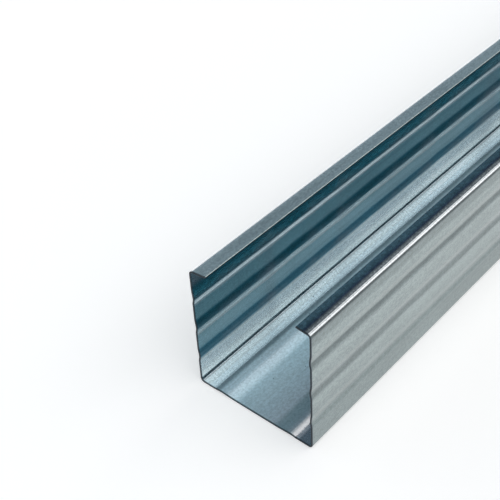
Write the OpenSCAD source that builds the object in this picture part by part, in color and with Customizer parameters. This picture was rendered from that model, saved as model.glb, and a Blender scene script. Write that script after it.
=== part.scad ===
// Drywall stud: a lipped C section, cold rolled from one strip of galvanised sheet.
// It lies on its web, open side up. X runs across the web, Y along the length.

/* [Stud] */
// Length of the stud
stud_length = 2400; // [500:10:4000]
// Width over the two flanges
web_width = 48.8; // [40:0.1:150]
// Height of a flange, from the back of the web to its outer corner with the lip
flange_height = 50; // [42:0.5:60]

/* [Sheet] */
// Thickness of the sheet
sheet_thickness = 0.6; // [0.4:0.05:1.2]
// Inside radius of the four bends
bend_radius = 1; // [0.8:0.1:2]

/* [Lips] */
// Width of the left lip, from its outer corner with the flange to its free edge
left_lip = 7.2; // [5:0.1:9]
// Width of the right lip, from its outer corner with the flange to its free edge
right_lip = 5.8; // [5:0.1:9]
// Angle by which the lips stay open, above parallel to the web
lip_opening = 7; // [0:1:15]

/* [Flange ribs] */
// Number of rolled ribs in each flange
rib_count = 3; // [1:1:3]
// Distance from rib to rib, with the row centred on the flange
rib_pitch = 13; // [9:0.5:14]
// Depth of a rib, pressed in from the outer face
rib_depth = 0.35; // [0.2:0.05:0.8]
// Run of a rib's steeper flank, on the side of the web
rib_web_run = 2.5; // [2:0.5:4]
// Run of a rib's gentler flank, on the side of the lip
rib_lip_run = 4; // [3:0.5:5]

/* [Web beads] */
// Distance from a flange's outer face to the crest of the bead beside it
bead_inset = 8.9; // [7:0.1:12]
// Run of a bead's gentler flank, on the side of the web's middle
bead_inner_run = 6.5; // [4:0.5:7.5]
// Run of a bead's steeper flank, on the side of the flange
bead_outer_run = 2.2; // [2:0.1:3]
// Depth of a bead, pressed in from the back of the web
bead_depth = 0.3; // [0.1:0.05:0.5]

/* [Smoothness] */
// Segments in each 90 degree bend
bend_steps = 8; // [4:1:16]
// Segments in each flank of a rib or bead
flank_steps = 6; // [3:1:12]

/* [Hidden] */

half_sheet = sheet_thickness / 2;
// The middle of the sheet turns each bend at this radius.
middle_radius = bend_radius + half_sheet;
outer_radius = bend_radius + sheet_thickness;
web_bend_angle = 90;
lip_bend_angle = 90 - lip_opening;
// A bend starts and ends this far short of its outer corner.
web_setback = outer_radius * tan(web_bend_angle / 2);
lip_setback = outer_radius * tan(lip_bend_angle / 2);

// Every pose of the sheet's middle line is [x, z, heading in degrees].

// The pose reached by moving from a pose, along its heading and to its left.
function move(pose, along, left = 0, turn = 0) = [
    pose[0] + along * cos(pose[2]) - left * sin(pose[2]),
    pose[1] + along * sin(pose[2]) + left * cos(pose[2]),
    pose[2] + turn
];

// One flank of a rib, as half a cosine wave between two levels. It leaves out its first pose.
function flank(pose, start, run, level_in, level_out) = [
    for (step = [1:flank_steps])
        let (
            share = step / flank_steps,
            swing = (level_out - level_in) / 2,
            level = level_in + swing * (1 - cos(180 * share)),
            slope = swing * PI / run * sin(180 * share)
        )
        move(pose, start + run * share, level, atan(slope))
];

// A rib pressed to the left of the heading, with its deepest line at a distance from the pose.
function rib(pose, middle, depth, run_in, run_out) = concat(
    [move(pose, middle - run_in)],
    flank(pose, middle - run_in, run_in, 0, depth),
    flank(pose, middle, run_out, depth, 0)
);

// A bend to the left. It holds its first and last poses.
function bend(pose, angle) = [
    for (step = [0:bend_steps])
        let (turned = angle * step / bend_steps)
        move(
            pose,
            middle_radius * sin(turned),
            middle_radius * (1 - cos(turned)),
            turned
        )
];

// Half of the middle line: from the middle of the web, round the flange, to the lip's free edge.
function half_line(lip) =
    let (
        web_start = [0, half_sheet, 0],
        web_run = web_width / 2 - web_setback,
        web_bend = bend(move(web_start, web_run), web_bend_angle),
        flange_start = web_bend[bend_steps],
        flange_run = flange_height - web_setback - lip_setback,
        first_rib = flange_height / 2 - web_setback - rib_pitch * (rib_count - 1) / 2,
        lip_bend = bend(move(flange_start, flange_run), lip_bend_angle),
        lip_start = lip_bend[bend_steps],
        lip_run = lip - lip_setback
    )
    concat(
        rib(web_start, web_width / 2 - bead_inset, bead_depth, bead_inner_run, bead_outer_run),
        web_bend,
        [
            for (index = [0:rib_count - 1])
                each rib(
                    flange_start,
                    first_rib + index * rib_pitch,
                    rib_depth,
                    rib_web_run,
                    rib_lip_run
                )
        ],
        lip_bend,
        [move(lip_start, lip_run)]
    );

// One face of the sheet, half a thickness to the left (+1) or the right (-1) of its middle line.
function face(line, side) = [
    for (pose = line)
        let (on_face = move(pose, 0, side * half_sheet))
        [on_face[0], on_face[1]]
];

function reverse(points) = [for (index = [len(points) - 1:-1:0]) points[index]];

function mirrored(points) = [for (point = points) [-point[0], point[1]]];

// The closed outline of the sheet, round its outer face and back along its inner face.
function section() =
    let (
        right = half_line(right_lip),
        left = half_line(left_lip)
    )
    concat(
        reverse(mirrored(face(left, -1))),
        face(right, -1),
        reverse(face(right, 1)),
        mirrored(face(left, 1))
    );

module stud() {
    color("lightsteelblue")
        translate([0, stud_length / 2, 0])
            rotate([90, 0, 0])
                linear_extrude(height = stud_length)
                    polygon(section());
}

stud();
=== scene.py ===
"""A drywall stud on a pale floor: the rolled sheet, its zinc finish, the studio and the camera."""
import math

import bpy
from mathutils import Matrix, Vector


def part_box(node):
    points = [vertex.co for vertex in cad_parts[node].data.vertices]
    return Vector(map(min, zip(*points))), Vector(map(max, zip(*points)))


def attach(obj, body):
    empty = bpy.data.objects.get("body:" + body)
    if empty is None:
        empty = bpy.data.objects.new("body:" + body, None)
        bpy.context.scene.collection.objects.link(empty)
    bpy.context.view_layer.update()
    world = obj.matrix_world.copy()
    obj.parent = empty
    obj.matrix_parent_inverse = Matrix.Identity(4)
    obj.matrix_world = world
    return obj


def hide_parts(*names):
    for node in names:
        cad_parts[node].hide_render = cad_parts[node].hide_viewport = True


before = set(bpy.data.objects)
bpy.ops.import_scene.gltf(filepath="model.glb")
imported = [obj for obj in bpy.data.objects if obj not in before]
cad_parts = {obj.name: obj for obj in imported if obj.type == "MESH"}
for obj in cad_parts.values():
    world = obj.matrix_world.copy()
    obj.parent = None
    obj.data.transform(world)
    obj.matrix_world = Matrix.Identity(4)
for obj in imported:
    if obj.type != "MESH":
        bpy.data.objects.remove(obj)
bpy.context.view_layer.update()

MM = 0.001
LOW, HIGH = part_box("stud")

# The stud's section, as in the CAD source.
SHEET = 0.6 * MM
BEND_RADIUS = 1 * MM
HALF_WEB = HIGH[0]
FLANGE_HEIGHT = 50 * MM
LEFT_LIP, RIGHT_LIP = 7.2 * MM, 5.8 * MM
LIP_OPENING = math.radians(7)
RIB_PITCH, RIB_DEPTH = 13 * MM, 0.35 * MM
RIB_WEB_RUN, RIB_LIP_RUN = 2.5 * MM, 4 * MM
BEAD_CREST, BEAD_INNER_RUN, BEAD_OUTER_RUN = 15.5 * MM, 6.5 * MM, 2.2 * MM
BEAD_DEPTH = 0.3 * MM
BEND_STEPS, FLANK_STEPS = 9, 8

MIDDLE_RADIUS = BEND_RADIUS + SHEET / 2
OUTER_RADIUS = BEND_RADIUS + SHEET
LIP_BEND = math.pi / 2 - LIP_OPENING

# The cut edges: the arris along the free edges, and the smaller one that the shears leave.
ARRIS, END_ARRIS = 0.12 * MM, 0.05 * MM
STATIONS = 260


# --- The section: poses (x, z, heading) of the sheet's middle line ---

def move(pose, along, left=0.0, turn=0.0):
    """The pose reached by moving from a pose, along its heading and to its left."""
    x, z, heading = pose
    c, s = math.cos(heading), math.sin(heading)
    return (x + along * c - left * s, z + along * s + left * c, heading + turn)


def flank(pose, start, run, level_in, level_out):
    """One flank of a rib: half a cosine wave between two levels."""
    poses = []
    for step in range(1, FLANK_STEPS + 1):
        share = step / FLANK_STEPS
        swing = (level_out - level_in) / 2
        level = level_in + swing * (1 - math.cos(math.pi * share))
        slope = swing * math.pi / run * math.sin(math.pi * share)
        poses.append(move(pose, start + run * share, level, math.atan(slope)))
    return poses


def rib(pose, middle, depth, run_in, run_out):
    """A rib pressed to the left of the heading."""
    return (
        [move(pose, middle - run_in)]
        + flank(pose, middle - run_in, run_in, 0, depth)
        + flank(pose, middle, run_out, depth, 0)
    )


def bend(pose, angle):
    """A bend to the left, with its first and last poses."""
    poses = []
    for step in range(BEND_STEPS + 1):
        turned = angle * step / BEND_STEPS
        sideways = MIDDLE_RADIUS * (1 - math.cos(turned))
        poses.append(move(pose, MIDDLE_RADIUS * math.sin(turned), sideways, turned))
    return poses


def half_line(lip):
    """From the middle of the web, round the flange, to the lip's free edge."""
    web_start = (0.0, SHEET / 2, 0.0)
    web = rib(web_start, BEAD_CREST, BEAD_DEPTH, BEAD_INNER_RUN, BEAD_OUTER_RUN)
    web_bend = bend(move(web_start, HALF_WEB - OUTER_RADIUS), math.pi / 2)
    flange_start = web_bend[-1]
    lip_setback = OUTER_RADIUS * math.tan(LIP_BEND / 2)
    flange = []
    for index in (-1, 0, 1):
        middle = FLANGE_HEIGHT / 2 - OUTER_RADIUS + index * RIB_PITCH
        flange += rib(flange_start, middle, RIB_DEPTH, RIB_WEB_RUN, RIB_LIP_RUN)
    lip_bend = bend(move(flange_start, FLANGE_HEIGHT - OUTER_RADIUS - lip_setback), LIP_BEND)
    return web + web_bend + flange + lip_bend + [move(lip_bend[-1], lip - lip_setback)]


def middle_line():
    """The whole strip, from the left lip's free edge to the right lip's."""
    right = half_line(RIGHT_LIP)
    left = [(-x, z, -heading) for x, z, heading in reversed(half_line(LEFT_LIP))]
    return left + right


# --- The sheet ---

def ring_points(line, inset):
    """The section's outline, its faces and free edges drawn in by the inset."""
    half = SHEET / 2 - inset
    outside = [move(pose, 0, -half) for pose in line]
    inside = [move(pose, 0, half) for pose in reversed(line)]
    first, last = line[0], line[-1]
    free = SHEET / 2 - ARRIS
    end_cap = [move(last, -inset, -free), move(last, -inset, free)]
    start_cap = [move(first, inset, free), move(first, inset, -free)]
    outside[0], outside[-1] = move(first, ARRIS, -half), move(last, -ARRIS, -half)
    inside[0], inside[-1] = move(last, -ARRIS, half), move(first, ARRIS, half)
    return outside + end_cap + inside + start_cap


def stations():
    """Where along the length the section is drawn, with its inset there."""
    length = HIGH[1] - LOW[1]
    inner = [LOW[1] + length * step / STATIONS for step in range(1, STATIONS)]
    places = [LOW[1] + END_ARRIS, *inner, HIGH[1] - END_ARRIS]
    return [(LOW[1], END_ARRIS), *[(y, 0.0) for y in places], (HIGH[1], END_ARRIS)]


def strip_kind(row, k, count):
    """What a quad of the sheet's skin is: a rolled face, an arris or cut steel."""
    end = row in (0, STATIONS + 1)
    if k in (count, 2 * count + 2) or (end and k < count):
        return "cut"
    beside_cut = k in (count - 1, count + 1, 2 * count + 1, 2 * count + 3)
    return "arris" if end or beside_cut else "face"


def skin(rows, size, count):
    """The quads between neighbouring rings, and what each one is."""
    faces, kinds = [], []
    for row in range(rows - 1):
        for k in range(size):
            a = row * size + k
            b = row * size + (k + 1) % size
            faces.append((a, a + size, b + size, b))
            kinds.append(strip_kind(row, k, count))
    return faces, kinds


def end_caps(rows, size, count):
    """The quads that close the two ends, each from the outside across to the inside."""
    across = [(k, 2 * count + 1 - k) for k in range(count)]
    across = [(size - 1, 2 * count + 2), *across, (count, count + 1)]
    last = (rows - 1) * size
    faces = []
    for (a, d), (b, c) in zip(across, across[1:]):
        faces.append((a, b, c, d))
        faces.append((last + d, last + c, last + b, last + a))
    return faces


def corner_normals(mesh, kinds, ring, inner):
    """The normals at each face's corners: square to the rolled sheet, and flat on its edges."""
    normals = []
    for face, kind in zip(mesh.polygons, kinds):
        for vertex in face.vertices:
            k = vertex % len(ring)
            heading = ring[k][2]
            side = 1 if inner[k] else -1
            rolled = (-side * math.sin(heading), 0, side * math.cos(heading))
            normals.append(rolled if kind == "face" else face.normal)
    return normals


def sheet_mesh():
    """The sheet as one closed mesh: lengthwise strips, two cut ends and two free edges."""
    line = middle_line()
    count = len(line)
    places = stations()
    rings = [ring_points(line, inset) for _, inset in places]
    size = len(rings[0])
    verts = [(x, y, z) for (y, _), ring in zip(places, rings) for x, z, _ in ring]
    faces, kinds = skin(len(places), size, count)
    caps = end_caps(len(places), size, count)
    kinds += ["cut"] * len(caps)

    mesh = bpy.data.meshes.new("stud_sheet")
    mesh.from_pydata(verts, [], faces + caps)
    inner = [float(count < k < 2 * count + 3) for k in range(size)]
    mesh.attributes.new("inner", "FLOAT", "POINT").data.foreach_set("value", inner * len(places))
    for face, kind in zip(mesh.polygons, kinds):
        face.use_smooth = True
        face.material_index = int(kind == "cut")
    mesh.normals_split_custom_set(corner_normals(mesh, kinds, rings[0], inner))
    return mesh


# --- Node helpers ---

def math_node(tree, operation, *values):
    """A Math node whose inputs are numbers or sockets; returns its output."""
    node = tree.nodes.new("ShaderNodeMath")
    node.operation = operation
    for socket, value in zip(node.inputs, values):
        if isinstance(value, (int, float)):
            socket.default_value = value
        else:
            tree.links.new(value, socket)
    return node.outputs[0]


def map_range(tree, value, low, high, to_low=0.0, to_high=1.0):
    """A value taken smoothly from one range to another."""
    node = tree.nodes.new("ShaderNodeMapRange")
    node.interpolation_type = "SMOOTHSTEP"
    ends = {"From Min": low, "From Max": high, "To Min": to_low, "To Max": to_high}
    for name, number in ends.items():
        node.inputs[name].default_value = number
    tree.links.new(value, node.inputs["Value"])
    return node.outputs[0]


def noise(tree, scale, detail=2.0, roughness=0.5):
    """Noise over the object, with its scale per metre along each axis."""
    place = tree.nodes.new("ShaderNodeTexCoord")
    mapping = tree.nodes.new("ShaderNodeMapping")
    mapping.inputs["Scale"].default_value = scale
    tree.links.new(place.outputs["Object"], mapping.inputs["Vector"])
    node = tree.nodes.new("ShaderNodeTexNoise")
    node.inputs["Scale"].default_value = 1.0
    node.inputs["Detail"].default_value = detail
    node.inputs["Roughness"].default_value = roughness
    tree.links.new(mapping.outputs[0], node.inputs["Vector"])
    return node.outputs["Fac"]


def specks(tree, scale, size, share):
    """1 in small dots scattered over the surface: a share of the cells has one."""
    place = tree.nodes.new("ShaderNodeTexCoord")
    cells = tree.nodes.new("ShaderNodeTexVoronoi")
    cells.inputs["Scale"].default_value = scale
    tree.links.new(place.outputs["Object"], cells.inputs["Vector"])
    chosen = tree.nodes.new("ShaderNodeSeparateColor")
    tree.links.new(cells.outputs["Color"], chosen.inputs[0])
    near = map_range(tree, cells.outputs["Distance"], size, size * 0.6)
    return math_node(tree, "MULTIPLY", near, math_node(tree, "LESS_THAN", chosen.outputs[0], share))


def color_ramp(tree, share, stops):
    """A colour by a share from 0 to 1, from stops that each have their share and colour."""
    node = tree.nodes.new("ShaderNodeValToRGB")
    elements = node.color_ramp.elements
    while len(elements) < len(stops):
        elements.new(1.0)
    for element, (position, color) in zip(elements, stops):
        element.position = position
        element.color = (*color, 1)
    tree.links.new(share, node.inputs[0])
    return node.outputs[0]


def blend(tree, factor, first, second):
    """A colour between two others, each a colour or a socket."""
    node = tree.nodes.new("ShaderNodeMix")
    node.data_type = "RGBA"
    tree.links.new(factor, node.inputs["Factor"])
    for name, color in (("A", first), ("B", second)):
        if isinstance(color, tuple):
            node.inputs[name].default_value = (*color, 1)
        else:
            tree.links.new(color, node.inputs[name])
    return node.outputs["Result"]


def scaled(tree, color, level):
    """A colour made darker or lighter by a level."""
    node = tree.nodes.new("ShaderNodeVectorMath")
    node.operation = "SCALE"
    tree.links.new(color, node.inputs[0])
    tree.links.new(level, node.inputs["Scale"])
    return node.outputs[0]


def duller(tree, color, saturation):
    """A colour with less of its hue."""
    node = tree.nodes.new("ShaderNodeHueSaturation")
    node.inputs["Saturation"].default_value = saturation
    tree.links.new(color, node.inputs["Color"])
    return node.outputs[0]


def object_place(tree):
    """The x, y and z of a point of the surface, in metres."""
    place = tree.nodes.new("ShaderNodeTexCoord")
    split = tree.nodes.new("ShaderNodeSeparateXYZ")
    tree.links.new(place.outputs["Object"], split.inputs[0])
    return split.outputs


def surface_value(tree, name):
    """A number stored on the mesh."""
    node = tree.nodes.new("ShaderNodeAttribute")
    node.attribute_name = name
    return node.outputs["Fac"]


# --- Materials ---

# The zinc's tones, which run in bands along the stud. Most of them are painted light: the painted
# reflections, highlights and shade of the ribs, bends and beads, laid into the colour.
PALE = (0.87, 0.97, 0.98)
# A painted highlight for the lower flanks of the ribs inside.
RIB_HIGHLIGHT = (0.80, 0.98, 0.99)
SEA = (0.40, 0.68, 0.74)
SLATE = (0.37, 0.70, 0.76)
DEEP = (0.12, 0.36, 0.46)
NIGHT = (0.055, 0.265, 0.335)
# Painted shade for the inner bends between the web and the flanges.
CORNER_SHADE = (0.06, 0.08, 0.10)
FROST = (0.80, 0.82, 0.88)
STONE = (0.50, 0.56, 0.62)
PEBBLE = (0.54, 0.61, 0.68)
MIST = (0.38, 0.45, 0.485)
ASH = (0.34, 0.42, 0.47)
DUSK = (0.29, 0.37, 0.42)
GLINT = (0.98, 0.98, 1.0)
# A painted highlight for the outer side of the lip bends.
BEND_HIGHLIGHT = (0.62, 0.65, 0.67)
GREY = (0.285, 0.335, 0.34)
GREY_LIGHT = (0.35, 0.41, 0.413)
GREY_FAINT = (0.26, 0.31, 0.315)
GREY_BAND = (0.227, 0.266, 0.272)
GREY_DARK = (0.14, 0.175, 0.18)
GREY_DEEP = (0.105, 0.125, 0.13)
TEAL = (0.22, 0.40, 0.48)
INK = (0.14, 0.28, 0.36)
NAVY = (0.07, 0.11, 0.19)

# Where the bands lie, in mm: outside by height, inside by height on the flanges, and from left to
# right on the web and on the right lip.
# Outside, painted shade: darker bands in the rib grooves and lighter flats between them, a painted dark
# line below each lip bend, and a painted highlight on the bend.
OUTER_PAINTED_BANDS = (
    (0, GREY_FAINT), (12.8, GREY_FAINT), (13.4, GREY), (21.8, GREY_LIGHT), (23.2, GREY_BAND),
    (25.5, GREY_BAND), (26.1, GREY), (35, GREY_LIGHT), (36.5, GREY_BAND), (38.1, GREY_DARK),
    (38.8, GREY), (44, GREY_LIGHT), (45.5, GREY_FAINT), (47.8, GREY_FAINT), (48.7, GREY_BAND),
    (49.2, GREY_DEEP), (49.55, GREY_DEEP), (49.75, BEND_HIGHLIGHT), (50.16, BEND_HIGHLIGHT), (50.22, GREY_LIGHT),
)
# Inside the flanges, painted reflections: a pale lower band, dark bands on the ribs' upper flanks,
# painted highlights on their lower flanks, and painted shade in the bend at the web.
FLANGE_PAINTED_BANDS = (
    (0.7, MIST), (1, MIST), (1.1, CORNER_SHADE), (1.3, CORNER_SHADE), (1.5, PALE), (10.4, PALE), (11.8, DEEP),
    (15, DEEP), (16, SEA), (21.5, SEA), (21.9, RIB_HIGHLIGHT), (23.8, RIB_HIGHLIGHT), (24.9, NIGHT), (28.2, NIGHT),
    (29.4, SLATE), (34.6, SLATE), (35.1, RIB_HIGHLIGHT), (36.9, RIB_HIGHLIGHT), (38.2, NIGHT), (42.5, NIGHT), (45, ASH),
)
# On the web, painted reflections of the flange and lips: light and dark bands across it, and a painted
# highlight (GLINT) on the right bead's outer flank.
WEB_PAINTED_BANDS = (
    (-22.2, MIST), (-20.8, MIST), (-19.8, ASH), (-18.8, ASH), (-17.8, DUSK), (-15.8, DUSK),
    (-14.8, STONE), (-13, STONE), (-11.8, FROST), (-8.8, FROST), (-6.8, STONE), (-1, STONE),
    (1, PEBBLE), (8, PEBBLE), (9.4, ASH), (13.4, ASH), (14.8, STONE), (15.4, GLINT), (18, GLINT),
    (19.2, ASH),
)
# On the right lip, a painted dark reflection across its top and the painted highlight at its bend.
RIGHT_LIP_PAINTED_BANDS = ((17.5, TEAL), (20.5, INK), (21.5, NAVY), (22.1, GREY_LIGHT), (22.5, BEND_HIGHLIGHT))

# The band edges wander along the stud, up to the height where this fades out below the lips.
WANDER = 0.7 * MM
WANDER_SCALE = (0, 45, 0)
WANDER_FADE = (43 * MM, 47 * MM)
LIP_HEIGHTS = (50.15 * MM, 50.25 * MM)
RIGHT_SIDE = (0, 1 * MM)
RIGHT_SATURATION = 0.6

# The grain, patches and streaks: noise scales per metre, the span of each noise that counts, and
# how far it darkens or lightens the tone.
GRAIN_SCALE, GRAIN_DETAIL, GRAIN_ROUGHNESS = (1300, 900, 1300), 4.0, 0.75
GRAIN_SPAN, GRAIN_LEVELS = (0.3, 0.7), (0.82, 1.16)
PATCH_SCALE, PATCH_SPAN, PATCH_LEVELS = (60, 22, 60), (0.35, 0.65), (0.95, 1.05)
STREAK_SCALE, STREAK_SPAN, STREAK_LEVELS = (700, 6, 700), (0.45, 0.8), (1.0, 0.85)
SPECK_CELLS, SPECK_SIZE, SPECK_SHARE = 400, 0.11, 0.2
SPECK = (0.08, 0.11, 0.13)
# The zinc fades to the speck colour from 0.45 to 0.2 mm before each end: darker along the ends.
END_DARKENING = (HIGH[1] - 0.45 * MM, HIGH[1] - 0.2 * MM)

# The gloss. The web's middle is rougher than the rest.
ZINC_METALLIC = 0.92
ZINC_ROUGHNESS = (0.12, 0.2)
RUBBED_HALF = (16 * MM, 19 * MM)
RUBBED_ROUGHNESS = 0.22
BUMP_STRENGTH, BUMP_HEIGHT = 0.25, 0.02 * MM

# Cut steel painted near black: a painted dark reflection on the cut faces and free edges, with a faint
# noise.
STEEL_PAINTED_DARK = (0.015, 0.018, 0.022)
STEEL_PAINTED_DARK_LIGHTER = (0.05, 0.06, 0.07)
STEEL_SCALE = (2500, 2500, 2500)
STEEL_ROUGHNESS = 0.45


def new_material(name):
    material = bpy.data.materials.new(name)
    material.use_nodes = True
    return material, material.node_tree, material.node_tree.nodes["Principled BSDF"]


def band_ramp(tree, place, low, high, tones):
    """The painted band colour at a place between two others, from tones with their places in mm."""
    share = math_node(tree, "DIVIDE", math_node(tree, "SUBTRACT", place, low), high - low)
    return color_ramp(tree, share, [((mm * MM - low) / (high - low), tone) for mm, tone in tones])


def wandering(tree, x, z):
    """The place where a point's tone is looked up, which makes the band edges wander."""
    wander = map_range(tree, noise(tree, WANDER_SCALE), 0, 1, -WANDER, WANDER)
    wander = math_node(tree, "MULTIPLY", wander, map_range(tree, z, *WANDER_FADE, 1, 0))
    return [math_node(tree, "ADD", place, wander) for place in (x, z)]


def outer_tone(tree, x, z, on_right):
    """The painted tone outside, with its own on the right lip."""
    outer = band_ramp(tree, z, LOW[2], HIGH[2], OUTER_PAINTED_BANDS)
    lip = band_ramp(tree, x, LOW[0], HIGH[0], RIGHT_LIP_PAINTED_BANDS)
    right_lip = math_node(tree, "MULTIPLY", on_right, map_range(tree, z, *LIP_HEIGHTS))
    return blend(tree, right_lip, outer, lip)


def inner_tone(tree, x, z, on_right):
    """The painted tone inside: one run on the web, and one on the flanges and under the lips."""
    web = band_ramp(tree, x, LOW[0], HIGH[0], WEB_PAINTED_BANDS)
    flange = band_ramp(tree, z, LOW[2], HIGH[2], FLANGE_PAINTED_BANDS)
    flange = blend(tree, on_right, flange, duller(tree, flange, RIGHT_SATURATION))
    across = math_node(tree, "ABSOLUTE", x)
    on_flange = map_range(tree, across, HALF_WEB - OUTER_RADIUS, HALF_WEB - SHEET)
    above_web = map_range(tree, z, FLANGE_HEIGHT / 2, FLANGE_HEIGHT)
    return blend(tree, math_node(tree, "MAXIMUM", on_flange, above_web), web, flange)


def zinc_with_painted_light(tree):
    """The zinc's colour before its grain, with the painted reflections, highlights and shade of its
    bands.
    """
    x, _, z = object_place(tree)
    x, z = wandering(tree, x, z)
    on_right = map_range(tree, x, *RIGHT_SIDE)
    outer = outer_tone(tree, x, z, on_right)
    inner = inner_tone(tree, x, z, on_right)
    return blend(tree, surface_value(tree, "inner"), outer, inner)


def zinc_level(tree, grain):
    """How much darker or lighter than its tone the zinc is."""
    level = map_range(tree, grain, *GRAIN_SPAN, *GRAIN_LEVELS)
    patches = map_range(tree, noise(tree, PATCH_SCALE), *PATCH_SPAN, *PATCH_LEVELS)
    streaks = map_range(tree, noise(tree, STREAK_SCALE), *STREAK_SPAN, *STREAK_LEVELS)
    level = math_node(tree, "MULTIPLY", level, patches)
    return math_node(tree, "MULTIPLY", level, streaks)


def zinc():
    material, tree, shader = new_material("galvanised")
    grain = noise(tree, GRAIN_SCALE, GRAIN_DETAIL, GRAIN_ROUGHNESS)
    across, along = [math_node(tree, "ABSOLUTE", place) for place in object_place(tree)[:2]]

    color = scaled(tree, zinc_with_painted_light(tree), zinc_level(tree, grain))
    color = blend(tree, specks(tree, SPECK_CELLS, SPECK_SIZE, SPECK_SHARE), color, SPECK)
    # Darker along the last fraction of a millimetre at each end.
    color = blend(tree, map_range(tree, along, *END_DARKENING), color, SPECK)
    tree.links.new(color, shader.inputs["Base Color"])

    rubbed = map_range(tree, across, *RUBBED_HALF, RUBBED_ROUGHNESS, 0)
    worn = map_range(tree, grain, *GRAIN_SPAN, *ZINC_ROUGHNESS)
    tree.links.new(math_node(tree, "ADD", rubbed, worn), shader.inputs["Roughness"])
    shader.inputs["Metallic"].default_value = ZINC_METALLIC

    bump = tree.nodes.new("ShaderNodeBump")
    bump.inputs["Strength"].default_value = BUMP_STRENGTH
    bump.inputs["Distance"].default_value = BUMP_HEIGHT
    tree.links.new(grain, bump.inputs["Height"])
    tree.links.new(bump.outputs[0], shader.inputs["Normal"])
    return material


# The cut faces and free edges: steel painted near black, a painted dark reflection.
def cut_steel_painted_dark():
    material, tree, shader = new_material("cut_edge")
    color = blend(tree, noise(tree, STEEL_SCALE), STEEL_PAINTED_DARK, STEEL_PAINTED_DARK_LIGHTER)
    tree.links.new(color, shader.inputs["Base Color"])
    shader.inputs["Metallic"].default_value = 1.0
    shader.inputs["Roughness"].default_value = STEEL_ROUGHNESS
    return material


# --- The studio ---

# What stands round the stud, by degrees round its length from its right side to its left: a key
# light high on the right, a ceiling, a dark bluish gap, and a low and wide fill light on the left.
# The room's own level lies beyond the stud's ends.
ROOM = (1.0, 1.0, 1.0)
DIM = (0.7, 0.7, 0.7)
KEY_EDGE = (1.5, 1.5, 1.5)
KEY = (2.1, 2.1, 2.1)
CEILING = (1.3, 1.3, 1.3)
GAP = (0.03, 0.05, 0.07)
GAP_MIDDLE = (0.17, 0.21, 0.25)
GAP_BLUE = (0.06, 0.19, 0.3)
FILL_DUSK = (0.26, 0.36, 0.45)
FILL_EDGE = (1.4, 1.4, 1.35)
FILL = (2.6, 2.55, 2.5)
AROUND = (
    (0, ROOM), (12, DIM), (24, DIM), (36, KEY_EDGE), (48, KEY), (60, KEY_EDGE), (72, DIM),
    (84, CEILING), (96, CEILING), (108, GAP), (120, GAP_MIDDLE), (132, GAP_BLUE), (144, FILL_DUSK),
    (162, FILL_EDGE), (180, FILL),
)
ENDWISE = (0.8, 0.98)
BRIGHTEST = max(FILL)

FLOOR_SIZE = 30
FLOOR_COLOR = (0.8, 0.8, 0.8)
FLOOR_ROUGHNESS = 0.9
FLOOR_LIFT = 0.28


def seen_rays(tree):
    """1 for the rays that show a surface: straight, in metal or through glass."""
    path = tree.nodes.new("ShaderNodeLightPath")
    in_metal, through_glass = path.outputs["Is Glossy Ray"], path.outputs["Is Transmission Ray"]
    mirrored = math_node(tree, "MAXIMUM", in_metal, through_glass)
    return math_node(tree, "MAXIMUM", path.outputs["Is Camera Ray"], mirrored)


def light_share(color):
    """A light's colour as a share of the brightest, because the ramp goes up to 1."""
    return tuple(level / BRIGHTEST for level in color)


def world_light():
    """Long soft lights beside the stud, set by the angle round its length."""
    world = bpy.data.worlds.new("studio")
    world.use_nodes = True
    tree = world.node_tree
    tree.nodes.clear()
    place = tree.nodes.new("ShaderNodeTexCoord")
    split = tree.nodes.new("ShaderNodeSeparateXYZ")
    tree.links.new(place.outputs["Generated"], split.inputs[0])
    x, y, z = split.outputs
    half_turns = math_node(tree, "DIVIDE", math_node(tree, "ARCTAN2", z, x), math.pi)
    stops = [(degrees / 180, light_share(color)) for degrees, color in AROUND]
    around = color_ramp(tree, half_turns, stops)
    endwise = map_range(tree, math_node(tree, "ABSOLUTE", y), *ENDWISE)
    lit = tree.nodes.new("ShaderNodeBackground")
    lit.inputs["Strength"].default_value = BRIGHTEST
    tree.links.new(blend(tree, endwise, around, light_share(ROOM)), lit.inputs["Color"])
    out = tree.nodes.new("ShaderNodeOutputWorld")
    tree.links.new(lit.outputs[0], out.inputs["Surface"])
    bpy.context.scene.world = world


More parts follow.
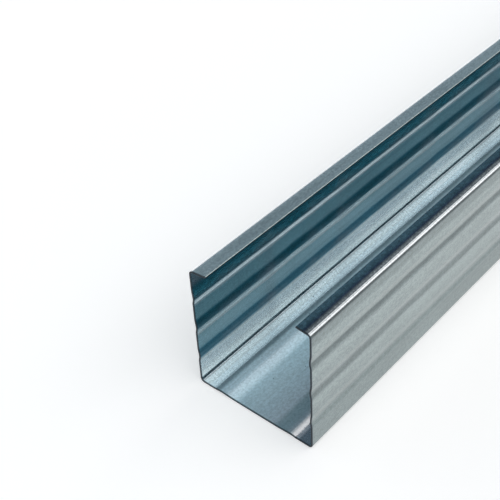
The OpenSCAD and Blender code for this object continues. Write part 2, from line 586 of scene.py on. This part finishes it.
def add_floor():
    mesh = bpy.data.meshes.new("floor")
    signs = ((-1, -1), (1, -1), (1, 1), (-1, 1))
    mesh.from_pydata([(x * FLOOR_SIZE, y * FLOOR_SIZE, 0) for x, y in signs], [], [(0, 1, 2, 3)])
    floor = bpy.data.objects.new("floor", mesh)
    bpy.context.collection.objects.link(floor)
    material, tree, shader = new_material("floor")
    shader.inputs["Base Color"].default_value = (*FLOOR_COLOR, 1)
    shader.inputs["Roughness"].default_value = FLOOR_ROUGHNESS
    shader.inputs["Specular IOR Level"].default_value = 0.0
    shader.inputs["Emission Color"].default_value = (1, 1, 1, 1)
    lift = math_node(tree, "MULTIPLY", seen_rays(tree), FLOOR_LIFT)
    tree.links.new(lift, shader.inputs["Emission Strength"])
    mesh.materials.append(material)


# --- The camera ---

# Azimuth, elevation and roll in degrees, the place in mm from the middle of the near end's foot,
# and the lens and sensor in mm.
CAMERA_ANGLES = (-42.78, 39.01, -3.52)
CAMERA_PLACE = (153.6, -163.3, 251.8)
LENS, SENSOR_WIDTH = 71.74, 36
CLIP_START, CLIP_END = 0.01, 100


def place_camera():
    azimuth, elevation, roll = map(math.radians, CAMERA_ANGLES)
    level = math.cos(elevation)
    forward = Vector((math.sin(azimuth) * level, math.cos(azimuth) * level, -math.sin(elevation)))
    right = Vector((math.cos(azimuth), -math.sin(azimuth), 0))
    up = right.cross(forward)
    turn = Matrix.Rotation(-roll, 3, forward)
    right, up = turn @ right, turn @ up
    data = bpy.data.cameras.new("camera")
    data.sensor_width = SENSOR_WIDTH
    data.lens = LENS
    data.clip_start = CLIP_START
    data.clip_end = CLIP_END
    camera = bpy.data.objects.new("camera", data)
    bpy.context.collection.objects.link(camera)
    matrix = Matrix((right, up, -forward)).transposed().to_4x4()
    matrix.translation = Vector(CAMERA_PLACE) * MM + Vector((0, LOW[1], 0))
    camera.matrix_world = matrix
    bpy.context.scene.camera = camera


# --- The stud ---

place_camera()
world_light()
add_floor()
stud = bpy.data.objects.new("stud_sheet", sheet_mesh())
bpy.context.collection.objects.link(stud)
stud.data.materials.append(zinc())
stud.data.materials.append(cut_steel_painted_dark())
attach(stud, "root")
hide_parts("stud")
bpy.context.scene.view_settings.view_transform = "Standard"
